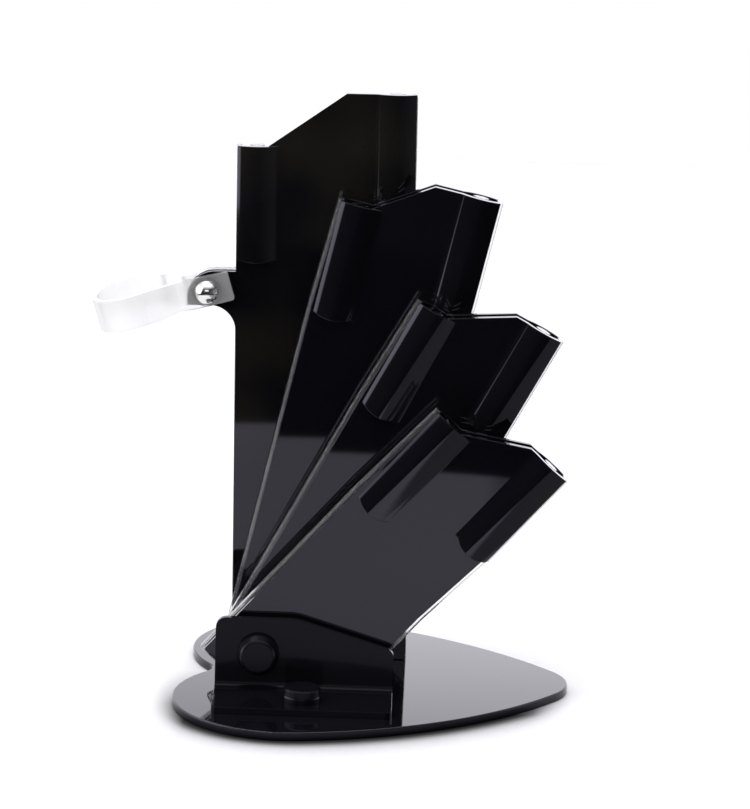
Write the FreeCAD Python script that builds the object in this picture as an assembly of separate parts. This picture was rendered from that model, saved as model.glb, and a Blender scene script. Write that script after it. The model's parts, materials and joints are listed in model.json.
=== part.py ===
import FreeCAD, Part
import math
import os

# Free-standing fan knife block: four flat acrylic sheaths on one pivot bolt,
# held between two bent brackets on a heart-shaped base plate.
# Working frame: X right, Y from the front bracket towards the back, Z up, with the
# pivot axis along Y through X = 0, Z = 0. Everything is moved to the final frame
# (origin on the resting plane, under the middle of the whole object) at the end.
# All lengths are millimetres and all angles degrees.

Vec = FreeCAD.Vector
Y_AXIS = Vec(0, 1, 0)
Z_AXIS = Vec(0, 0, 1)

# Sheets and stack
PANEL_T = 3.0            # black acrylic panel
SLOT = 5.0               # gap between the panels, where a blade goes
SHEATH_T = 2 * PANEL_T + SLOT
PITCH = 17.0             # from one sheath to the next along the bolt
BRACKET_T = 3.0
END_GAP = 3.2            # bracket wall to the nearest sheath
BASE_T = 4.0
PIVOT_ABOVE_BASE = 18.5
FLOOR_GAP = 0.4          # between a turning sheath and the base

# Formed channels at the two ends of each mouth
BULGE_W = 17.5
BULGE_LEN = 52.0
BULGE_DEPTH = 2.7
BULGE_R = 16.5
BULGE_BLEND = 4.0        # hollow rounding from the channel into the flat of the panel
POST_R = 3.5
CLEAR_STEP = 0.4         # part of the step that the clear spacer follows

# Clear spacer between the panels
RAIL_W = 2.6
FOOT_W = 10.0
BOSS_R = 9.0
SHELF_W = 14.0           # level part of the mouth before it climbs to the apex
TAPER_LEN = 40.0

# One row per sheath, rear (tallest) to front (shortest). lean: rest angle to the right of
# upright. left, right: outer sides of the two channels. shelf, top: heights of the two
# levels of the mouth. apex: where the top level begins. edge: left side of the sheath.
# lip: how far the clear spacer stands out of the black panels. taper: how much the right
# side narrows below its channel. step: how far the panel is set back there. foot: from the
# bolt to the bottom edge. sag: how far the lower ends of the channels bow downwards.
# drop: how much lower the rear panel's mouth is than the front panel's.
SHEATHS = {
    1: dict(lean=-0.75, left=-14.5, right=66.3, shelf=221.7, top=246.4, apex=34.6, edge=-14.9,
            lip=0.3, taper=0.0, step=0.0, foot=PIVOT_ABOVE_BASE, sag=1.6,
            drop=2.0),
    2: dict(lean=12.5, left=-13.4, right=55.8, shelf=202.7, top=219.3, apex=25.8, edge=-16.5,
            lip=1.4, taper=2.6, step=1.5, foot=PIVOT_ABOVE_BASE - FLOOR_GAP, sag=2.0,
            drop=0.0),
    3: dict(lean=27.9, left=-14.6, right=48.8, shelf=171.8, top=187.9, apex=26.0, edge=-17.6,
            lip=1.4, taper=2.6, step=1.5, foot=PIVOT_ABOVE_BASE - FLOOR_GAP, sag=2.5,
            drop=0.0),
    4: dict(lean=41.3, left=-16.2, right=46.4, shelf=135.6, top=152.1, apex=25.1, edge=-19.5,
            lip=1.4, taper=2.6, step=1.5, foot=PIVOT_ABOVE_BASE - FLOOR_GAP, sag=2.8,
            drop=0.0),
}
FIXED_SHEATH = 1         # stands on the base and doesn't turn

# Ear on the rear sheath, and the peeler ring screwed to it
SCREW_U = -27.7
SCREW_V = 154.4
EAR_TOP = 9.6
EAR_BOTTOM = 6.8
EAR_LEFT = 9.3
EAR_ROUND = 13.0
EAR_FILLET = 11.6
RING_TILT = 16.5
RING_H = 14.8
RING_WALL = 2.4
RING_HALF_LEN = 17.9
RING_HALF_DEPTH = 27.6
RING_CENTRE = 36.2       # from the screw to the middle of the ring
RING_BACK = 19.3         # from the front of the ear to the middle of the ring
RING_PLAY = 0.15         # between the tabs and the ear
TAB_END = 11.4
TAB_H = 13.2
RING_SCREW_R = 2.0
RING_NUT_T = 3.2
DOME_R = 5.5
DOME_H = 3.6
WASHER_R = 6.6
WASHER_T = 0.9

# Brackets
WALL_LEFT = -19.3
REAR_WALL_LEFT = -12.0
WALL_RIGHT = 61.0
WALL_TOP = 16.5
WALL_SLOPE_START = 17.0
WALL_SLOPE_END = 57.5
WALL_LOW = 4.2
FLANGE_LEN = 31.5
BEND_INNER_R = 2.5
FLANGE_CORNER_R = 3.0

# Base plate: two round lobes, long side arcs and a rounded tip; the two halves differ a
# little. x, y, r: centre and radius of the lobe, y from the plate's axis. side: angle from
# the lobe's widest point to where the side arc takes over.
FRONT_HALF = dict(x=12.6, y=35.1, r=50.7, side=8.5)
REAR_HALF = dict(x=16.8, y=39.2, r=49.9, side=16.3)
BASE_AXIS_Y = 31.0       # from the front bracket's wall to the plate's axis
TIP_X = 114.2
TIP_R = 27.1
NOTCH_R = 9.0
BASE_EDGE_R = 0.6

# Fasteners
PIVOT_R = 3.0
PIVOT_FIT = 0.06
HEAD_R = 5.2
HEAD_H = 3.6
PIVOT_NUT_AF = 10.0
PIVOT_NUT_T = 4.0
SPACER_R = 8.0
SPACER_SLACK = 0.1
CAP_R = 9.5
CAP_FACE_R = 7.9
CAP_H = 6.0
CAP_HOLLOW_R = 6.4
CAP_HOLLOW_H = 5.0
FLANGE_SCREW_X = 20.7
FLANGE_SCREW_OUT = 17.0  # from the bracket wall
FLANGE_SCREW_R = 2.5
FLANGE_NUT_AF = 8.0
FLANGE_NUT_T = 3.2
FLANGE_CAP_R = 8.7
FLANGE_CAP_FACE_R = 8.3
FLANGE_CAP_H = 6.3
FLANGE_CAP_HOLLOW_R = 5.2
FLANGE_CAP_HOLLOW_H = 4.9
HOLE_FIT = 0.1
COUNTERSINK_R = 5.0
COUNTERSINK_H = 2.6

# Worked out from the dimensions above
BASE_TOP = -PIVOT_ABOVE_BASE
FRONT_FACE = {n: BRACKET_T + END_GAP + (4 - n) * PITCH for n in SHEATHS}
REAR_WALL_OUT = FRONT_FACE[1] + SHEATH_T + END_GAP + BRACKET_T
MID_Y = REAR_WALL_OUT / 2
BULGE_AXIS = BULGE_R - BULGE_DEPTH


def run_edges(runs, to_3d):
    """Edges from a list of runs: two points make a line, three an arc."""
    edges = []
    for points in runs:
        vectors = [to_3d(*point) for point in points]
        if len(vectors) == 2:
            edges.append(Part.makeLine(*vectors))
        else:
            edges.append(Part.Arc(*vectors).toShape())
    return edges


def wire(runs):
    """A closed face in the XZ plane from lines and arcs given as lists of (x, z) points."""
    return Part.Face(Part.Wire(run_edges(runs, lambda x, z: Vec(x, 0, z))))


def polygon(points):
    corners = [Vec(x, 0, z) for x, z in points]
    return Part.Face(Part.makePolygon(corners + corners[:1]))


def half_plane(z):
    """Everything near the sheaths that lies below z."""
    return polygon([(-100, -150), (200, -150), (200, z), (-100, z)])


def slab(face, y, thickness):
    """The XZ face pushed back from y by a thickness."""
    solid = face.extrude(Vec(0, thickness, 0))
    solid.translate(Vec(0, y, 0))
    return solid


def rod(x, z, radius, y, length):
    return Part.makeCylinder(radius, length, Vec(x, y, z), Y_AXIS)


def on_circle(cx, cz, radius, angle):
    turn = math.radians(angle)
    return (cx + radius * math.cos(turn), cz + radius * math.sin(turn))


def hexagon(across_flats, height, centre, axis):
    corner = across_flats / math.sqrt(3)
    points = [Vec(*on_circle(0, 0, corner, 60 * i), 0) for i in range(7)]
    prism = Part.Face(Part.makePolygon(points)).extrude(Vec(0, 0, height))
    prism.Placement = FreeCAD.Placement(centre, FreeCAD.Rotation(Z_AXIS, axis))
    return prism


def revolved(profile, centre, axis):
    """A solid of revolution from (radius, height) points, standing on centre along axis."""
    corners = [Vec(r, 0, h) for r, h in profile]
    face = Part.Face(Part.makePolygon(corners + corners[:1]))
    solid = face.revolve(Vec(0, 0, 0), Z_AXIS, 360)
    solid.Placement = FreeCAD.Placement(centre, FreeCAD.Rotation(Z_AXIS, axis))
    return solid


# ---------------------------------------------------------------- sheaths

def sheath_outline(s, inset, step, open_mouth=0.0):
    """Front view of one sheath, upright, drawn in from its full outline by inset.

    open_mouth lifts the mouth, so that a cut with this shape leaves the top open.
    """
    turn = math.radians(s["lean"])
    left_top = s["left"] - s["lip"] + inset
    left = s["edge"] + inset
    right_top = s["right"] + s["lip"] - inset
    right_mid = right_top - step
    right = right_mid - s["taper"]
    left_bend = s["shelf"] - BULGE_LEN
    right_bend = s["top"] - BULGE_LEN
    shelf = s["shelf"] + open_mouth
    top = s["top"] + open_mouth
    foot = s["foot"] - inset

    def on_base(u):
        return (u, (u * math.sin(turn) - foot) / math.cos(turn))

    runs = [
        [on_base(right), (right, right_bend - TAPER_LEN)],
        [(right, right_bend - TAPER_LEN), (right_mid, right_bend)],
    ]
    if step > 0:
        runs.append([(right_mid, right_bend), (right_top, right_bend)])
    runs += [
        [(right_top, right_bend), (right_top, top)],
        [(right_top, top), (s["apex"], top)],
        [(s["apex"], top), (s["left"] + SHELF_W, shelf)],
        [(s["left"] + SHELF_W, shelf), (left_top, shelf)],
        [(left_top, shelf), (left, left_bend)],
    ]
    if turn > 0:
        # square heel, then an arc about the bolt that lets the sheath turn upright
        toe = (foot * math.sin(turn), -foot * math.cos(turn))
        heel = (foot * math.sin(turn / 2), -foot * math.cos(turn / 2))
        runs += [
            [(left, left_bend), (left, -foot)],
            [(left, -foot), (0, -foot)],
            [(0, -foot), heel, toe],
            [toe, on_base(right)],
        ]
    else:
        runs += [
            [(left, left_bend), on_base(left)],
            [on_base(left), on_base(right)],
        ]
    return wire(runs)


def ear_outline(inset):
    """The rounded ear, with its lower corner blended into the sheath's left side."""
    root = SHEATHS[FIXED_SHEATH]["edge"] + 4.0
    side = SHEATHS[FIXED_SHEATH]["edge"] + inset
    top = SCREW_V + EAR_TOP - inset
    bottom = SCREW_V - EAR_BOTTOM + inset
    left = SCREW_U - EAR_LEFT + inset
    blend = EAR_FILLET + inset
    centre = (side - blend, bottom - blend)
    round_r = EAR_ROUND - inset
    round_centre = (left + round_r, top - round_r)
    return wire([
        [(root, top), (round_centre[0], top)],
        [(round_centre[0], top), on_circle(*round_centre, round_r, 135), (left, round_centre[1])],
        [(left, round_centre[1]), (left, bottom)],
        [(left, bottom), (centre[0], bottom)],
        [(centre[0], bottom), on_circle(*centre, blend, 45), (side, centre[1])],
        [(side, centre[1]), (root, centre[1])],
        [(root, centre[1]), (root, top)],
    ])


def channel_ridge(centre, mouth, outward, sag):
    """Rounded ridge on the front of a panel, full at the sheath's side and blended inwards."""
    half = BULGE_W / 2
    end = mouth - BULGE_LEN
    reach = BULGE_R + BULGE_BLEND
    turn = math.acos((BULGE_AXIS + BULGE_BLEND) / reach)
    blend_x = reach * math.sin(turn)

    def ridge_y(x):
        return BULGE_AXIS - math.sqrt(BULGE_R ** 2 - x ** 2)

    join_x = BULGE_R * math.sin(turn)
    blend_mid = (BULGE_BLEND * math.sin(turn / 2) - blend_x, BULGE_BLEND * (math.cos(turn / 2) - 1))
    plan = [
        [(half, 1.0), (half, ridge_y(half))],
        [(half, ridge_y(half)), (0, -BULGE_DEPTH), (-join_x, ridge_y(join_x))],
        [(-join_x, ridge_y(join_x)), blend_mid, (-blend_x, 0)],
        [(-blend_x, 0), (-blend_x, 1.0)],
        [(-blend_x, 1.0), (half, 1.0)],
    ]
    edges = run_edges(plan, lambda x, y: Vec(centre + outward * x, y, end - sag))
    ridge = Part.Face(Part.Wire(edges)).extrude(Vec(0, 0, BULGE_LEN + sag))
    front_view = wire([
        [(centre + half, end), (centre + half + 4, end)],
        [(centre + half + 4, end), (centre + half + 4, mouth)],
        [(centre + half + 4, mouth), (centre - half - 4, mouth)],
        [(centre - half - 4, mouth), (centre - half - 4, end)],
        [(centre - half - 4, end), (centre - half, end)],
        [(centre - half, end), (centre, end - sag), (centre + half, end)],
    ])
    return ridge.common(slab(front_view, -BULGE_DEPTH - 1, BULGE_DEPTH + 3))


def channel_hollow(centre, mouth):
    """Round hollow in the back of a panel behind a ridge, open at the mouth."""
    end = hollow_end(mouth)
    length = mouth + 1 - end
    bar = Part.makeCylinder(BULGE_R - PANEL_T, length, Vec(centre, BULGE_AXIS, end), Z_AXIS)
    corner = Vec(centre - BULGE_W / 2, -BULGE_DEPTH, end)
    return bar.common(Part.makeBox(BULGE_W, BULGE_DEPTH + PANEL_T, length, corner))


def hollow_end(mouth):
    return mouth - BULGE_LEN + PANEL_T


def channel_places(s):
    """Centre, mouth height and outward side of the left and right channels."""
    half = BULGE_W / 2
    return [(s["left"] + half, s["shelf"], -1), (s["right"] - half, s["top"], 1)]


def pivot_hole():
    return rod(0, 0, PIVOT_R + PIVOT_FIT, -10, SHEATH_T + 20)


def ear_hole():
    return rod(SCREW_U, SCREW_V, RING_SCREW_R + HOLE_FIT, -10, SHEATH_T + 20)


def front_panel(s, ear):
    panel = slab(sheath_outline(s, s["lip"], s["step"]), 0, PANEL_T)
    for centre, mouth, outward in channel_places(s):
        panel = panel.fuse(channel_ridge(centre, mouth, outward, s["sag"]))
        panel = panel.cut(channel_hollow(centre, mouth))
    if ear:
        panel = panel.fuse(slab(ear_outline(s["lip"]), 0, PANEL_T)).cut(ear_hole())
    return panel.removeSplitter().cut(pivot_hole())


def rear_panel(s, ear):
    """The front panel again, facing the other way, with its mouth lowered by the drop."""
    lowered = dict(s, shelf=s["shelf"] - s["drop"], top=s["top"] - s["drop"])
    return front_panel(lowered, ear).mirror(Vec(0, SHEATH_T / 2, 0), Y_AXIS)


def spacer(s, ear):
    """Clear U-shaped frame between the panels, open at the mouth, solid at its foot."""
    step = CLEAR_STEP * s["step"]
    rim = slab(sheath_outline(s, 0, step), PANEL_T, SLOT)
    hollow = slab(sheath_outline(s, RAIL_W, step, 8.0), PANEL_T - 1, SLOT + 2)
    foot_top = FOOT_W - s["foot"]
    level_foot = slab(half_plane(foot_top + 5), PANEL_T - 1, SLOT + 2)
    leaned_foot = slab(half_plane(foot_top), PANEL_T - 1, SLOT + 2)
    leaned_foot.rotate(Vec(0, 0, 0), Y_AXIS, -s["lean"])
    frame = rim.cut(hollow.cut(level_foot).cut(leaned_foot))
    frame = frame.fuse(rod(0, 0, BOSS_R, PANEL_T, SLOT))
    if ear:
        frame = frame.fuse(slab(ear_outline(0), PANEL_T, SLOT)).cut(ear_hole())
    return frame.removeSplitter().cut(pivot_hole())


def posts(s):
    """Clear round posts in the two channels; they stand on the closed channel ends."""
    solids = []
    for centre, mouth, _ in channel_places(s):
        foot = Vec(centre, SHEATH_T / 2, hollow_end(mouth))
        solids.append(Part.makeCylinder(POST_R, mouth - hollow_end(mouth) - 0.2, foot, Z_AXIS))
    return Part.makeCompound(solids)


def placed(shape, number):
    """Turn an upright sheath piece to its rest angle and move it to its place on the bolt."""
    shape.rotate(Vec(0, 0, 0), Y_AXIS, SHEATHS[number]["lean"])
    shape.translate(Vec(0, FRONT_FACE[number], 0))
    return shape


def sheath(number):
    s = SHEATHS[number]
    ear = number == FIXED_SHEATH
    name = "sheath_%d_" % number
    return {
        name + "front_panel": placed(front_panel(s, ear), number),
        name + "rear_panel": placed(rear_panel(s, ear), number),
        name + "spacer": placed(spacer(s, ear), number),
        name + "posts": placed(posts(s), number),
    }


# ---------------------------------------------------------------- peeler ring

def ring_axis():
    """World X and Z of the ring's screw."""
    turn = math.radians(SHEATHS[FIXED_SHEATH]["lean"])
    x = SCREW_U * math.cos(turn) + SCREW_V * math.sin(turn)
    z = -SCREW_U * math.sin(turn) + SCREW_V * math.cos(turn)
    return x, z


def loop(inset, height):
    """Solid inside the ring's band, drawn in by inset: an oval that narrows onto the ear."""
    front = -RING_PLAY - RING_WALL + inset
    back = SHEATH_T + RING_PLAY + RING_WALL - inset
    ellipse = Part.Ellipse(Vec(0, 0, 0), RING_HALF_DEPTH - inset, RING_HALF_LEN - inset).toShape()
    oval = Part.Face(Part.Wire([ellipse])).extrude(Vec(0, 0, height))
    oval.rotate(Vec(0, 0, 0), Z_AXIS, 90)
    oval.translate(Vec(-RING_CENTRE, RING_BACK, -height / 2))
    # straight runs from the oval to the two faces of the ear
    neck = [(-RING_CENTRE, front - 5.6), (-RING_CENTRE + 7.0, front - 3.2), (-13.0, front),
            (TAB_END + 0.5 * inset, front), (TAB_END + 0.5 * inset, back),
            (-9.5 - 0.6 * inset, back), (-20.6 - 0.8 * inset, RING_BACK + 12.0),
            (-RING_CENTRE, RING_BACK + 12.0)]
    corners = [Vec(x, y, -height / 2) for x, y in neck]
    prism = Part.Face(Part.makePolygon(corners + corners[:1])).extrude(Vec(0, 0, height))
    return oval.fuse(prism)


def peeler_ring():
    """Band bent into an oval, its two ends lying on the front and back of the ear."""
    x, z = ring_axis()
    left = -RING_CENTRE - RING_HALF_LEN - 1
    side_view = polygon([
        (left, -RING_H / 2), (-24.0, -RING_H / 2), (-14.0, -0.4 * RING_H), (-6.0, -TAB_H / 2),
        (TAB_END, -TAB_H / 2), (TAB_END, TAB_H / 2), (-4.0, RING_H / 2), (left, RING_H / 2),
    ])
    band = loop(0, RING_H).cut(loop(RING_WALL, RING_H + 2)).removeSplitter()
    ring = band.common(slab(side_view, -40, 120))
    tab_corners = [e for e in ring.Edges if abs(e.CenterOfMass.x - TAB_END) < 0.01
                   and e.BoundBox.YLength > RING_WALL - 0.01 and e.BoundBox.ZLength < 0.01]
    ring = ring.makeFillet(1.2, tab_corners)
    ring = ring.cut(rod(0, 0, RING_SCREW_R + 0.08, -10, SHEATH_T + 20))
    ring.rotate(Vec(0, 0, 0), Y_AXIS, -RING_TILT)
    ring.translate(Vec(x, FRONT_FACE[FIXED_SHEATH], z))
    return ring


def ring_fasteners():
    """Domed screw and washer on the front tab, nut behind the rear tab."""
    x, z = ring_axis()
    tab = RING_PLAY + RING_WALL + 0.1
    seat = FRONT_FACE[FIXED_SHEATH] - tab - WASHER_T
    back = FRONT_FACE[FIXED_SHEATH] + SHEATH_T + tab
    dome_radius = (DOME_R ** 2 + DOME_H ** 2) / (2 * DOME_H)
    ball = Part.makeSphere(dome_radius, Vec(x, seat + dome_radius - DOME_H, z))
    head = ball.common(rod(x, z, DOME_R + 1, seat - DOME_H - 1, DOME_H + 1))
    shank = rod(x, z, RING_SCREW_R, seat, back + RING_NUT_T + 0.8 - seat)
    screw = head.fuse(shank).removeSplitter()
    washer = rod(x, z, WASHER_R, seat, WASHER_T)
    rim = [e for e in washer.Edges if abs(e.CenterOfMass.y - seat) < 0.01]
    washer = washer.makeFillet(0.3, rim)
    washer = washer.cut(rod(x, z, RING_SCREW_R + 0.08, seat - 1, WASHER_T + 2))
    nut = hexagon(7.0, RING_NUT_T, Vec(x, back, z), Y_AXIS)
    nut = nut.cut(rod(x, z, RING_SCREW_R + 0.05, back - 1, RING_NUT_T + 2))
    return {"ring_screw": screw, "ring_washer": washer, "ring_nut": nut}


# ---------------------------------------------------------------- stand

def side_arc(half):
    """Centre and radius of the side arc, tangent to the lobe and to the tip's rounding."""
    x, y, r = half["x"], half["y"], half["r"]
    turn = math.radians(half["side"])
    ahead = (TIP_X - x) * math.sin(turn) - y * math.cos(turn)
    gap = (TIP_X - x) ** 2 + y ** 2
    radius = (gap - 2 * r * ahead + r ** 2 - TIP_R ** 2) / (2 * (r - TIP_R - ahead))
    return x - (radius - r) * math.sin(turn), y - (radius - r) * math.cos(turn), radius


def notch_centre():
    """Middle of the rounded notch, which touches both lobes; front half below the x axis."""
    a, b = FRONT_HALF, REAR_HALF
    reach_a, reach_b = a["r"] + NOTCH_R, b["r"] + NOTCH_R
    dx, dy = b["x"] - a["x"], b["y"] + a["y"]
    apart = math.hypot(dx, dy)
    along = (reach_a ** 2 - reach_b ** 2 + apart ** 2) / (2 * apart)
    across = math.sqrt(reach_a ** 2 - along ** 2)
    return (a["x"] + (along * dx - across * dy) / apart,
            -a["y"] + (along * dy + across * dx) / apart)


def half_outline(half, notch):
    """Lobe and side arc of one half, drawn with y away from the axis; notch is (x, y)."""
    x, y, r = half["x"], half["y"], half["r"]
    side_x, side_y, side_r = side_arc(half)
    tip_angle = math.degrees(math.atan2(-side_y, TIP_X - side_x))
    notch_angle = math.degrees(math.atan2(notch[1] - y, notch[0] - x))
    join = on_circle(x, y, r, 90 - half["side"])
    tip_join = on_circle(TIP_X, 0, TIP_R, tip_angle)
    return [
        [on_circle(x, y, r, notch_angle), on_circle(x, y, r, 150), join],
        [join, on_circle(side_x, side_y, side_r, (tip_angle + 90 - half["side"]) / 2), tip_join],
    ]


def base_plate():
    """Heart-shaped plate, drawn with its axis on y = 0 and moved under the stack."""
    notch = notch_centre()
    rear = half_outline(REAR_HALF, notch)
    front = half_outline(FRONT_HALF, (notch[0], -notch[1]))
    front = [[(x, -y) for x, y in points] for points in front]
    tip = [rear[1][-1], (TIP_X + TIP_R, 0), front[1][-1]]
    dip = [front[0][0], (notch[0] + NOTCH_R, notch[1]), rear[0][0]]
    edges = run_edges(rear + front + [tip, dip], lambda x, y: Vec(x, y, 0))
    outline = Part.Wire(Part.sortEdges(edges)[0])
    plate = Part.Face(outline).extrude(Vec(0, 0, BASE_T))
    rim = [e for e in plate.Edges if abs(e.BoundBox.ZLength) < 0.01]
    plate = plate.makeFillet(BASE_EDGE_R, rim)
    plate.translate(Vec(0, BASE_AXIS_Y, BASE_TOP - BASE_T))
    for y in flange_screw_rows():
        hole = Vec(FLANGE_SCREW_X, y, BASE_TOP - BASE_T)
        plate = plate.cut(Part.makeCylinder(FLANGE_SCREW_R + HOLE_FIT, BASE_T, hole, Z_AXIS))
        sink = Part.makeCone(COUNTERSINK_R + HOLE_FIT, FLANGE_SCREW_R + HOLE_FIT, COUNTERSINK_H, hole)
        plate = plate.cut(sink)
    return plate


def flange_screw_rows():
    return [-FLANGE_SCREW_OUT, REAR_WALL_OUT + FLANGE_SCREW_OUT]


def bracket(left):
    """Front bracket: upright wall bent forward into a flange that lies on the base."""
    top = WALL_TOP - BASE_TOP
    outer_r = BEND_INNER_R + BRACKET_T
    inner_mid = BEND_INNER_R * (1 - math.sqrt(0.5))
    outer_mid = outer_r * (1 - math.sqrt(0.5))
    # side view (y, height above base), with the wall's back face on y = BRACKET_T
    profile = [
        [(BRACKET_T, outer_r), (BRACKET_T, top)],
        [(BRACKET_T, top), (0, top)],
        [(0, top), (0, outer_r)],
        [(0, outer_r), (-inner_mid, BRACKET_T + inner_mid), (-BEND_INNER_R, BRACKET_T)],
        [(-BEND_INNER_R, BRACKET_T), (-FLANGE_LEN, BRACKET_T)],
        [(-FLANGE_LEN, BRACKET_T), (-FLANGE_LEN, 0)],
        [(-FLANGE_LEN, 0), (-BEND_INNER_R, 0)],
        [(-BEND_INNER_R, 0), (BRACKET_T - outer_mid, outer_mid), (BRACKET_T, outer_r)],
    ]
    edges = run_edges(profile, lambda y, h: Vec(left, y, BASE_TOP + h))
    strip = Part.Face(Part.Wire(edges)).extrude(Vec(WALL_RIGHT - left, 0, 0))
    outline = slab(polygon([
        (left, BASE_TOP - 1), (WALL_RIGHT, BASE_TOP - 1), (WALL_RIGHT, WALL_LOW - 1.5),
        (WALL_SLOPE_END, WALL_LOW), (WALL_SLOPE_START, WALL_TOP), (left, WALL_TOP),
    ]), -FLANGE_LEN - 1, FLANGE_LEN + BRACKET_T + 2)

    def upright_edges(x, z):
        return [e for e in outline.Edges if abs(e.CenterOfMass.x - x) < 0.6
                and abs(e.CenterOfMass.z - z) < 0.6 and e.BoundBox.YLength > FLANGE_LEN]

    corners = [(left, WALL_TOP, 4.6), (WALL_SLOPE_START, WALL_TOP, 25.0),
               (WALL_SLOPE_END, WALL_LOW, 2.0), (WALL_RIGHT, WALL_LOW - 1.5, 3.0)]
    for x, z, radius in corners:
        outline = outline.makeFillet(radius, upright_edges(x, z))
    bent = strip.common(outline)
    front_corners = [e for e in bent.Edges if abs(e.CenterOfMass.y + FLANGE_LEN) < 0.01
                     and e.BoundBox.ZLength > BRACKET_T - 0.01]
    bent = bent.makeFillet(FLANGE_CORNER_R, front_corners)
    screw = Vec(FLANGE_SCREW_X, -FLANGE_SCREW_OUT, BASE_TOP - 1)
    bent = bent.cut(Part.makeCylinder(FLANGE_SCREW_R + HOLE_FIT, BRACKET_T + 2, screw, Z_AXIS))
    return bent.cut(rod(0, 0, PIVOT_R + PIVOT_FIT, -5, 15))


def to_back(shape):
    """The same piece facing the other way, mirrored across the middle of the stack."""
    return shape.mirror(Vec(0, MID_Y, 0), Y_AXIS)


def snap_cap(radius, face_radius, height, hollow_radius, hollow_height, centre, axis):
    """Round push-on cap with a bevelled crown and a hollow for the fastener."""
    profile = [
        (hollow_radius, 0), (radius, 0), (radius, 0.35 * height),
        (radius - 0.25, 0.45 * height), (face_radius, 0.88 * height),
        (face_radius - 0.5, 0.97 * height), (face_radius - 1.1, height),
        (0, height), (0, hollow_height), (hollow_radius, hollow_height),
    ]
    return revolved(profile, centre, axis)


def pivot_hardware():
    back = REAR_WALL_OUT
    shaft = rod(0, 0, PIVOT_R, -HEAD_H, back + PIVOT_NUT_T + 0.4 + HEAD_H)
    head = rod(0, 0, HEAD_R, -HEAD_H, HEAD_H - 0.02)
    head = head.makeFillet(0.8, [e for e in head.Edges if abs(e.CenterOfMass.y + HEAD_H) < 0.01])
    socket = hexagon(4.0, 2.0, Vec(0, -HEAD_H, 0), Y_AXIS)
    bolt = head.fuse(shaft).cut(socket).removeSplitter()
    nut = hexagon(PIVOT_NUT_AF, PIVOT_NUT_T, Vec(0, back + 0.02, 0), Y_AXIS)
    nut = nut.cut(rod(0, 0, PIVOT_R + 0.03, back - 1, PIVOT_NUT_T + 3))
    cap = snap_cap(CAP_R, CAP_FACE_R, CAP_H, CAP_HOLLOW_R, CAP_HOLLOW_H, Vec(0, 0, 0), -Y_AXIS)
    return {
        "pivot_bolt": bolt,
        "pivot_nut": nut,
        "front_pivot_cap": cap,
        "rear_pivot_cap": to_back(cap),
        "pivot_spacers": pivot_spacers(),
    }


def pivot_spacers():
    """Loose rings on the bolt: one before, between and behind the sheaths."""
    gaps = [(BRACKET_T, END_GAP), (FRONT_FACE[1] + SHEATH_T, END_GAP)]
    gaps += [(FRONT_FACE[n] + SHEATH_T, PITCH - SHEATH_T) for n in (2, 3, 4)]
    rings = []
    for start, gap in gaps:
        ring = rod(0, 0, SPACER_R, start + SPACER_SLACK / 2, gap - SPACER_SLACK)
        rings.append(ring.cut(rod(0, 0, PIVOT_R + PIVOT_FIT, start - 1, gap + 2)))
    return Part.makeCompound(rings)


def flange_hardware():
    """Countersunk screw from below, nut on the flange and a cap over it, front and back."""
    screws, nuts, caps = [], [], []
    flange_top = BASE_TOP + BRACKET_T
    for y in flange_screw_rows():
        under = Vec(FLANGE_SCREW_X, y, BASE_TOP - BASE_T + 0.1)
        top = Vec(FLANGE_SCREW_X, y, flange_top)
        length = BASE_T + BRACKET_T + FLANGE_NUT_T + 0.6
        head = Part.makeCone(COUNTERSINK_R, FLANGE_SCREW_R, COUNTERSINK_H, under)
        shank = Part.makeCylinder(FLANGE_SCREW_R, length, under, Z_AXIS)
        screws.append(head.fuse(shank).removeSplitter())
        nut = hexagon(FLANGE_NUT_AF, FLANGE_NUT_T, top, Z_AXIS)
        nuts.append(nut.cut(Part.makeCylinder(FLANGE_SCREW_R + 0.03, FLANGE_NUT_T, top, Z_AXIS)))
        caps.append(snap_cap(FLANGE_CAP_R, FLANGE_CAP_FACE_R, FLANGE_CAP_H, FLANGE_CAP_HOLLOW_R,
                             FLANGE_CAP_HOLLOW_H, top, Z_AXIS))
    return {
        "flange_screws": Part.makeCompound(screws),
        "flange_nuts": Part.makeCompound(nuts),
        "flange_caps": Part.makeCompound(caps),
    }


def build():
    nodes = {
        "base_plate": base_plate(),
        "front_bracket": bracket(WALL_LEFT),
        "rear_bracket": to_back(bracket(REAR_WALL_LEFT)),
    }
    nodes.update(pivot_hardware())
    nodes.update(flange_hardware())
    for number in SHEATHS:
        nodes.update(sheath(number))
    nodes["peeler_ring"] = peeler_ring()
    nodes.update(ring_fasteners())
    return nodes


def main():
    os.makedirs("parts", exist_ok=True)
    nodes = build()
    box = Part.makeCompound(list(nodes.values())).optimalBoundingBox(False, False)
    shift = Vec(-(box.XMin + box.XMax) / 2, -(box.YMin + box.YMax) / 2, -box.ZMin)
    print("pivot axis at X %.4f, Z %.4f; front wall at Y %.4f" % (shift.x, shift.z, shift.y))
    print("size %.2f x %.2f x %.2f" % (box.XLength, box.YLength, box.ZLength))
    for name, shape in nodes.items():
        shape.translate(shift)
        shape.exportStep("parts/%s.step" % name)
        print(name, len(shape.Solids), shape.isValid(), round(shape.Volume, 1))


main()
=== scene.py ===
import bpy
import json
import math
from mathutils import Matrix, Vector


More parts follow.
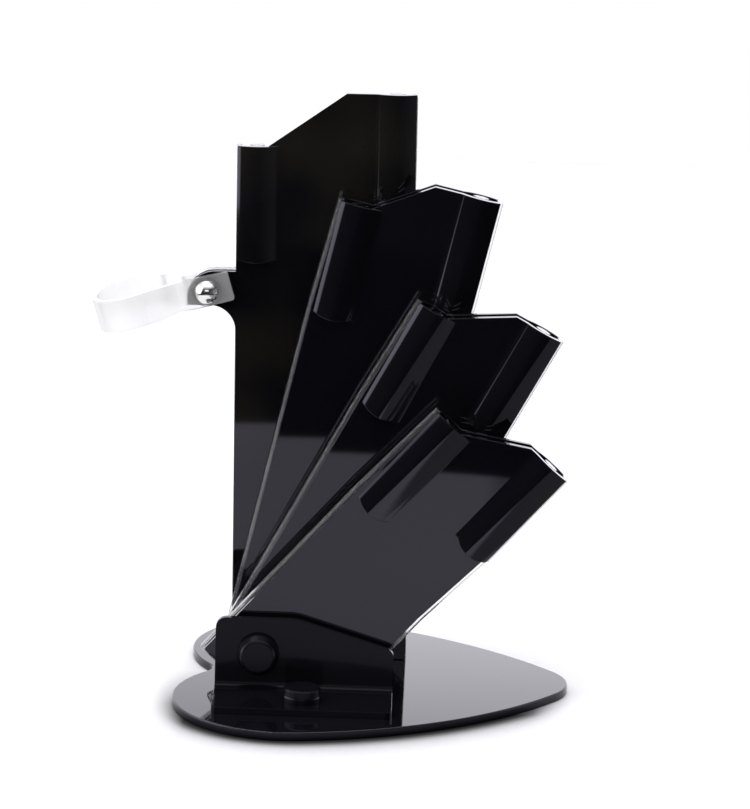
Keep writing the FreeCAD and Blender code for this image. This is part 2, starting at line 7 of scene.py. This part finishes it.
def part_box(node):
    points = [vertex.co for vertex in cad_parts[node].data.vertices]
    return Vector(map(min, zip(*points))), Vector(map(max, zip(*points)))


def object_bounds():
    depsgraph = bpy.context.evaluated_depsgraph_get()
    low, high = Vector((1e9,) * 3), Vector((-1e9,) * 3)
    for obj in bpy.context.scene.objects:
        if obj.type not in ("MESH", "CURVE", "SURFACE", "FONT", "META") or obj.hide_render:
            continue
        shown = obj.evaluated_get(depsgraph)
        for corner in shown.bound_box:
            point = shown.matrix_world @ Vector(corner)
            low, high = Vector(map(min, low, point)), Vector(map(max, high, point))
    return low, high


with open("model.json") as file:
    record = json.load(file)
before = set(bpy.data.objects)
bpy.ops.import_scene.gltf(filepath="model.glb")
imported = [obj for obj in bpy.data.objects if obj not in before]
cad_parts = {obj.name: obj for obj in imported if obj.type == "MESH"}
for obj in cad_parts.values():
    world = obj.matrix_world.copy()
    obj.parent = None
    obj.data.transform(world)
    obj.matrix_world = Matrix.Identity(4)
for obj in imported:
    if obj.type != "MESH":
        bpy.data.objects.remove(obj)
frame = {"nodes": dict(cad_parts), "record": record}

cad_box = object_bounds()

# Places from the frame: the pivot axis, the outer face of the front bracket's wall, the table's height
hinges = {j["name"]: j for j in frame["record"]["behaviour"]["joints"]}
pivot = Vector(hinges["sheath_4_pivot"]["pos_m"])
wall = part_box("front_pivot_cap")[1].y
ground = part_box("base_plate")[0].z
base_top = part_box("base_plate")[1].z

# Viewpoint: angles in degrees, lens and sensor in millimetres, everything else in metres
PITCH, TURN, ROLL = 13.38, 0.34, 1.92
LENS, SENSOR = 173.4, 36.0
VIEW_DISTANCE = 1.6
AIM_RIGHT, AIM_UP = 0.0489, 0.1172  # from the pivot axis to the point in the middle of the picture

# Edges: how round they look, and the band below the base's top where its rim turns dull
SHEET_EDGE, CLEAR_EDGE = 0.0004, 0.0005
RIM_START, RIM_END = 0.0003, 0.0001
RIM_SHINE, TOP_SHINE = 0.3, 0.55

# Table: its size, and where it fades out round the front and on the right
TABLE_SIDE, TABLE_BACK = 0.45, 1.5
END_START, END_STOP = 0.414, 0.421
RIGHT_FAR, RIGHT_NEAR, RIGHT_FADE = 0.08, 0.125, 0.02
RIGHT_COVER = 0.3
NEAR_STRIP = (-0.06, -0.03)  # from the wall, where RIGHT_FAR gives way to RIGHT_NEAR

# Painted contact shadow in the table's colour: how far it reaches, the depth band where it ends, and the
# sideways band where it ends
SHADOW_REACH = 0.03
SHADOW_DEPTH = (-0.04, 0.01)
SHADOW_MIDDLE, SHADOW_SIDE = 0.018, (0.078, 0.096)
SHADOW_REST = 0.1
SHADOW_TONES = [(0.50, 0.02), (0.80, 0.05), (0.91, 0.20), (0.96, 0.50), (0.99, 1.0)]

# What reflections see all round, as (way round, brightness). Way round is 0.5 straight ahead of the
# object, 0.25 on its left, 0.75 on its right, 0 and 1 behind it
WALLS = [(0.0, 0.40), (0.03, 0.40), (0.17, 0.42), (0.21, 1.0), (0.29, 1.0), (0.32, 0.6), (0.357, 0.55),
         (0.363, 0.006), (0.54, 0.006), (0.66, 0.03), (0.70, 0.08), (0.74, 0.40), (1.0, 0.47)]
WALL_LEAN = 0.07  # how far the walls shift round, per unit of height

# Heights in the room are the upward part of a direction, from -1 to 1
GLOW_HEIGHT, GLOW_STRENGTH = (0.29, 0.33), (5.3, 2.9)
DIM_BELOW, DIM = -0.19, 0.03
WINDOW_ROUND, WINDOW_HEIGHT, WINDOW_STRENGTH = (0.45, 0.55), (0.20, 0.42), 1.4
SKY_HEIGHT, SKY_STRENGTH = (0.45, 0.80), 1.1
PAPER_TINT = (0.955, 0.945, 1.0, 1.0)


# ------------------------------------------------------------------ nodes

def node_adder(tree):
    """A function that adds a node to the tree, with settings, and links or sets its inputs."""
    def add(kind, settings=None, **inputs):
        node = tree.nodes.new(kind)
        for key, value in (settings or {}).items():
            setattr(node, key, value)
        for key, value in inputs.items():
            feed(tree, value, node.inputs[key.replace("_", " ")])
        return node

    return add


def feed(tree, value, socket):
    """Link a socket to an input, or set the input to a value."""
    if isinstance(value, bpy.types.NodeSocket):
        tree.links.new(value, socket)
    else:
        socket.default_value = value


def calculator(tree):
    """A function that adds a maths node to the tree."""
    def calc(operation, first, second=0.0):
        node = tree.nodes.new("ShaderNodeMath")
        node.operation = operation
        feed(tree, first, node.inputs[0])
        feed(tree, second, node.inputs[1])
        return node.outputs[0]

    return calc


def fade(tree, value, band, tones, curve="LINEAR"):
    """The value mapped from a band to a pair of tones, and held at them outside the band."""
    node = tree.nodes.new("ShaderNodeMapRange")
    node.interpolation_type = curve
    feed(tree, value, node.inputs["Value"])
    node.inputs["From Min"].default_value, node.inputs["From Max"].default_value = band
    node.inputs["To Min"].default_value, node.inputs["To Max"].default_value = tones
    return node.outputs["Result"]


def shades(tree, factor, stops):
    """Colour ramp over (position, grey or rgb) stops."""
    node = tree.nodes.new("ShaderNodeValToRGB")
    feed(tree, factor, node.inputs["Fac"])
    ramp = node.color_ramp
    while len(ramp.elements) < len(stops):
        ramp.elements.new(0.5)
    for element, (position, colour) in zip(ramp.elements, stops):
        element.position = position
        rgb = (colour,) * 3 if isinstance(colour, float) else colour
        element.color = (*rgb, 1.0)
    return node.outputs["Color"]


def new_material(name):
    """An empty node material, its output node, and its node adder."""
    mat = bpy.data.materials.new(name)
    mat.use_nodes = True
    mat.node_tree.nodes.clear()
    out = mat.node_tree.nodes.new("ShaderNodeOutputMaterial")
    return mat, out, node_adder(mat.node_tree)


def object_coords(add):
    return add("ShaderNodeTexCoord").outputs["Object"]


def soft_edges(add, radius):
    """Shading normal that rounds sharp edges a little, as polished sheet has them."""
    return add("ShaderNodeBevel", {"samples": 4}, Radius=radius).outputs["Normal"]


# ------------------------------------------------------------------ materials

def gloss_black(name, cool, warm, rough, shine=0.46, dust=0.0):
    """Cast acrylic: deep black, a slow drift of tint and polish, and faint fine scuffs. On the tall sheath
    the second tint is a painted warm reflection.
    """
    mat, out, add = new_material(name)
    tree = mat.node_tree
    where = object_coords(add)
    cloud = add("ShaderNodeTexNoise", Vector=where, Scale=14.0, Detail=2.0).outputs["Fac"]
    specks = add("ShaderNodeTexNoise", Vector=where, Scale=2400.0, Detail=2.0).outputs["Fac"]
    wave = add("ShaderNodeTexNoise", Vector=where, Scale=9.0, Detail=1.0).outputs["Fac"]
    colour = shades(tree, cloud, [(0.42, cool), (0.72, warm)])
    polish = add("ShaderNodeMapRange", Value=cloud, To_Min=rough * 0.7, To_Max=rough * 1.3)
    ripple = add("ShaderNodeBump", Height=wave, Strength=0.03, Distance=0.001,
                 Normal=soft_edges(add, SHEET_EDGE))
    grain = add("ShaderNodeBump", Height=specks, Strength=0.02 + dust, Distance=0.00002,
                Normal=ripple.outputs["Normal"])
    shader = add("ShaderNodeBsdfPrincipled", Base_Color=colour, Roughness=polish.outputs["Result"],
                 IOR=1.49, Normal=grain.outputs["Normal"])
    shader.inputs["Specular IOR Level"].default_value = shine
    shader.inputs["Specular Tint"].default_value = (0.88, 0.86, 1.0, 1.0)
    tree.links.new(shader.outputs["BSDF"], out.inputs["Surface"])
    return mat


def dull_rim(mat, top):
    """The sawn edge of the base, below the height of its polished top, shines less."""
    tree = mat.node_tree
    add = node_adder(tree)
    parts = add("ShaderNodeSeparateXYZ", Vector=object_coords(add))
    level = fade(tree, parts.outputs["Z"], (top - RIM_START, top - RIM_END), (RIM_SHINE, TOP_SHINE))
    tree.links.new(level, tree.nodes["Principled BSDF"].inputs["Specular IOR Level"])
    return mat


def clear_acrylic(name, milk):
    """Clear cast acrylic; its cut edges hold light, which a little milk in it stands for."""
    mat, out, add = new_material(name)
    tree = mat.node_tree
    cloud = add("ShaderNodeTexNoise", Vector=object_coords(add), Scale=60.0, Detail=2.0).outputs["Fac"]
    colour = shades(tree, cloud, [(0.3, (0.90, 0.91, 0.92)), (0.7, (0.97, 0.98, 0.98))])
    polish = add("ShaderNodeMapRange", Value=cloud, To_Min=0.05, To_Max=0.12)
    shader = add("ShaderNodeBsdfPrincipled", Base_Color=colour, Roughness=polish.outputs["Result"],
                 IOR=1.49, Normal=soft_edges(add, CLEAR_EDGE))
    shader.inputs["Transmission Weight"].default_value = 1.0 - milk
    tree.links.new(shader.outputs["BSDF"], out.inputs["Surface"])
    return mat


def milky_plastic(name):
    """Milky moulded plastic: cloudy, satin, and lit through."""
    mat, out, add = new_material(name)
    tree = mat.node_tree
    where = object_coords(add)
    cloud = add("ShaderNodeTexNoise", Vector=where, Scale=45.0, Detail=3.0).outputs["Fac"]
    grain = add("ShaderNodeTexNoise", Vector=where, Scale=1500.0, Detail=2.0).outputs["Fac"]
    colour = shades(tree, cloud, [(0.3, (0.92, 0.92, 0.915)), (0.7, (0.96, 0.96, 0.955))])
    polish = add("ShaderNodeMapRange", Value=cloud, To_Min=0.30, To_Max=0.42)
    skin = add("ShaderNodeBump", Height=grain, Strength=0.05, Distance=0.00005)
    shader = add("ShaderNodeBsdfPrincipled", Base_Color=colour, Roughness=polish.outputs["Result"],
                 IOR=1.3, Normal=skin.outputs["Normal"])
    shader.inputs["Transmission Weight"].default_value = 0.84
    tree.links.new(shader.outputs["BSDF"], out.inputs["Surface"])
    return mat


def steel(name):
    """Bright nickel-plated steel with fine turning marks."""
    mat, out, add = new_material(name)
    tree = mat.node_tree
    marks = add("ShaderNodeTexNoise", Vector=object_coords(add), Scale=900.0, Detail=3.0).outputs["Fac"]
    colour = shades(tree, marks, [(0.3, (0.70, 0.69, 0.66)), (0.7, (0.80, 0.79, 0.77))])
    polish = add("ShaderNodeMapRange", Value=marks, To_Min=0.10, To_Max=0.20)
    fine = add("ShaderNodeBump", Height=marks, Strength=0.04, Distance=0.00005)
    shader = add("ShaderNodeBsdfPrincipled", Base_Color=colour, Roughness=polish.outputs["Result"],
                 Metallic=1.0, Normal=fine.outputs["Normal"])
    tree.links.new(shader.outputs["BSDF"], out.inputs["Surface"])
    return mat


def paint(material, *nodes):
    for node in nodes:
        mesh = frame["nodes"][node].data
        mesh.materials.clear()
        mesh.materials.append(material)


def paint_everything():
    """Tall sheath in black with a painted warm reflection on it, unlike the others; clear frames and posts,
    milky ring, bright screws.
    """
    cool, deep = (0.0036, 0.0034, 0.0052), (0.0050, 0.0047, 0.0064)
    panel_black = gloss_black("panel_black", cool, deep, 0.035)
    # The tall sheath's warm, brighter second tone is a painted reflection of a warm part of the room
    painted_reflection_black = gloss_black("painted_reflection_panel_black", (0.0038, 0.0035, 0.0044), (0.0170, 0.0155, 0.0110), 0.035)
    bracket_black = gloss_black("bracket_black", cool, deep, 0.08, shine=0.11)
    base_black = dull_rim(gloss_black("base_black", cool, deep, 0.04), base_top)
    cap_black = gloss_black("cap_black", cool, deep, 0.20, shine=0.12, dust=0.1)
    clear = clear_acrylic("clear_acrylic", 0.0)
    clear_edge = clear_acrylic("clear_edge_lit", 0.06)
    milky = milky_plastic("milky_plastic")
    bright_steel = steel("bright_steel")

    for name in frame["nodes"]:
        if name.endswith("_panel"):
            paint(painted_reflection_black if name.startswith("sheath_1") else panel_black, name)
        elif name.endswith("_spacer"):
            paint(clear_edge, name)
        elif name.endswith("_posts"):
            paint(clear, name)
    paint(base_black, "base_plate")
    paint(bracket_black, "front_bracket", "rear_bracket")
    paint(cap_black, "front_pivot_cap", "rear_pivot_cap", "flange_caps")
    paint(clear, "pivot_spacers", "ring_washer")
    paint(milky, "peeler_ring")
    paint(bright_steel, "pivot_bolt", "pivot_nut", "flange_screws", "flange_nuts", "ring_screw", "ring_nut")


# ------------------------------------------------------------------ studio

def table_colour(add, tree, parts, where):
    """Pale grey, with a painted contact shadow under the object's front edge."""
    calc = calculator(tree)
    cloud = add("ShaderNodeTexNoise", Vector=where, Scale=4.0, Detail=2.0).outputs["Fac"]
    pale = shades(tree, cloud, [(0.3, 0.88), (0.7, 0.90)])
    # Painted contact shadow: ambient occlusion darkens the table's colour, kept mostly to the front of the
    # object
    shelter = add("ShaderNodeAmbientOcclusion", {"samples": 32}, Distance=SHADOW_REACH)
    painted_contact_shadow = shades(tree, shelter.outputs["AO"], SHADOW_TONES)
    sideways = calc("ABSOLUTE", calc("SUBTRACT", parts.outputs["X"], SHADOW_MIDDLE))
    in_front = fade(tree, parts.outputs["Y"], SHADOW_DEPTH, (1.0, SHADOW_REST))
    beneath = fade(tree, sideways, SHADOW_SIDE, (1.0, SHADOW_REST))
    near = add("ShaderNodeMix", {"data_type": "RGBA", "blend_type": "MULTIPLY"},
               Factor=calc("MULTIPLY", in_front, beneath))
    tree.links.new(pale, near.inputs["A"])
    tree.links.new(painted_contact_shadow, near.inputs["B"])
    return near.outputs["Result"]


def table_cover(add, tree, parts):
    """How solid the table is: it ends round the front, and thins out on the right."""
    calc = calculator(tree)
    ahead = calc("MINIMUM", calc("SUBTRACT", parts.outputs["Y"], wall), 0.0)
    flat = add("ShaderNodeCombineXYZ", X=parts.outputs["X"], Y=ahead)
    reach = add("ShaderNodeVectorMath", {"operation": "LENGTH"})
    tree.links.new(flat.outputs[0], reach.inputs[0])
    all_round = fade(tree, reach.outputs["Value"], (END_START, END_STOP), (1.0, 0.0))
    edge = fade(tree, ahead, NEAR_STRIP, (RIGHT_FAR, RIGHT_NEAR))
    beyond = calc("SUBTRACT", parts.outputs["X"], edge)
    on_right = fade(tree, beyond, (0.0, RIGHT_FADE), (1.0, RIGHT_COVER))
    return calc("MULTIPLY", all_round, on_right)


def white_table():
    """Pale table under the object; its colour holds a painted contact shadow."""
    mesh = bpy.data.meshes.new("floor")
    front, back = wall - TABLE_SIDE, wall + TABLE_BACK
    corners = [(-TABLE_SIDE, front, ground), (TABLE_SIDE, front, ground),
               (TABLE_SIDE, back, ground), (-TABLE_SIDE, back, ground)]
    mesh.from_pydata(corners, [], [(0, 1, 2, 3)])
    table = bpy.data.objects.new("floor", mesh)
    bpy.context.scene.collection.objects.link(table)
    mat, out, add = new_material("floor_white")
    tree = mat.node_tree
    where = object_coords(add)
    parts = add("ShaderNodeSeparateXYZ", Vector=where)
    shader = add("ShaderNodeBsdfPrincipled", Roughness=0.6, Alpha=table_cover(add, tree, parts),
                 Base_Color=table_colour(add, tree, parts, where))
    shader.inputs["Specular IOR Level"].default_value = 0.1
    tree.links.new(shader.outputs["BSDF"], out.inputs["Surface"])
    mesh.materials.append(mat)


def soft_light(name, place, aim, side, watts):
    """A square area light that faces a point."""
    data = bpy.data.lights.new(name, "AREA")
    data.shape = "RECTANGLE"
    data.size = side
    data.size_y = side
    data.energy = watts
    lamp = bpy.data.objects.new(name, data)
    bpy.context.scene.collection.objects.link(lamp)
    lamp.location = place
    lamp.rotation_euler = (Vector(aim) - Vector(place)).to_track_quat("-Z", "Y").to_euler()


def room():
    """Pale walls all round with a dim gap in front, a small window over the viewpoint, and a sky.

    The walls are what reflections see. The camera, and what is seen through clear pieces, get plain white.
    """
    world = bpy.data.worlds.new("studio")
    bpy.context.scene.world = world
    world.use_nodes = True
    tree = world.node_tree
    tree.nodes.clear()
    add = node_adder(tree)
    calc = calculator(tree)

    def between(value, band):
        return calc("MULTIPLY", calc("GREATER_THAN", value, band[0]), calc("LESS_THAN", value, band[1]))

    direction = add("ShaderNodeTexCoord").outputs["Generated"]
    parts = add("ShaderNodeSeparateXYZ", Vector=direction)
    height = parts.outputs["Z"]
    angle = calc("ARCTAN2", parts.outputs["X"], calc("MULTIPLY", parts.outputs["Y"], -1.0))
    way_round = calc("ADD", calc("DIVIDE", angle, 2 * math.pi), 0.5)
    walls = shades(tree, calc("SUBTRACT", way_round, calc("MULTIPLY", height, WALL_LEAN)), WALLS)

    # The walls are brightest low down and dim below the table
    glow = calc("MULTIPLY", walls, fade(tree, height, GLOW_HEIGHT, GLOW_STRENGTH))
    above = calc("MULTIPLY", calc("GREATER_THAN", height, DIM_BELOW), 1.0 - DIM)
    lit = calc("MULTIPLY", glow, calc("ADD", above, DIM))
    window = calc("MULTIPLY", between(way_round, WINDOW_ROUND), between(height, WINDOW_HEIGHT))
    overall = add("ShaderNodeMix", {"data_type": "FLOAT"},
                  Factor=fade(tree, height, SKY_HEIGHT, (0.0, 1.0), "SMOOTHSTEP"))
    tree.links.new(calc("ADD", lit, calc("MULTIPLY", window, WINDOW_STRENGTH)), overall.inputs["A"])
    overall.inputs["B"].default_value = SKY_STRENGTH

    paper = add("ShaderNodeBackground", Color=PAPER_TINT, Strength=overall.outputs["Result"])
    plain = add("ShaderNodeBackground", Color=(1.0, 1.0, 1.0, 1.0), Strength=1.0)
    path = add("ShaderNodeLightPath")
    straight = calc("MAXIMUM", path.outputs["Is Camera Ray"], path.outputs["Is Transmission Ray"])
    mix = add("ShaderNodeMixShader", Fac=straight)
    tree.links.new(paper.outputs["Background"], mix.inputs[1])
    tree.links.new(plain.outputs["Background"], mix.inputs[2])
    out = add("ShaderNodeOutputWorld")
    tree.links.new(mix.outputs["Shader"], out.inputs["Surface"])


def camera():
    """A long lens a little above the object, with the small roll of the viewpoint."""
    pitch, turn, roll = math.radians(PITCH), math.radians(TURN), math.radians(ROLL)
    view = Vector((-math.sin(turn) * math.cos(pitch), math.cos(turn) * math.cos(pitch), -math.sin(pitch)))
    right = Vector((math.cos(turn), math.sin(turn), 0.0))
    up = right.cross(view)
    across = right * math.cos(roll) + up * math.sin(roll)
    upward = up * math.cos(roll) - right * math.sin(roll)
    place = Vector((pivot.x + AIM_RIGHT, wall, pivot.z + AIM_UP)) - view * VIEW_DISTANCE
    data = bpy.data.cameras.new("camera")
    data.sensor_fit = "HORIZONTAL"
    data.sensor_width = SENSOR
    data.lens = LENS
    cam = bpy.data.objects.new("camera", data)
    bpy.context.scene.collection.objects.link(cam)
    cam.matrix_world = Matrix((
        (across.x, upward.x, -view.x, place.x),
        (across.y, upward.y, -view.y, place.y),
        (across.z, upward.z, -view.z, place.z),
        (0.0, 0.0, 0.0, 1.0),
    ))
    bpy.context.scene.camera = cam


paint_everything()
white_table()
room()
soft_light("top_light", place=(0.0, 0.05, 1.35), aim=(cad_box[0] + cad_box[1]) / 2, side=1.6, watts=8.0)
camera()
bpy.context.scene.view_settings.view_transform = "Standard"
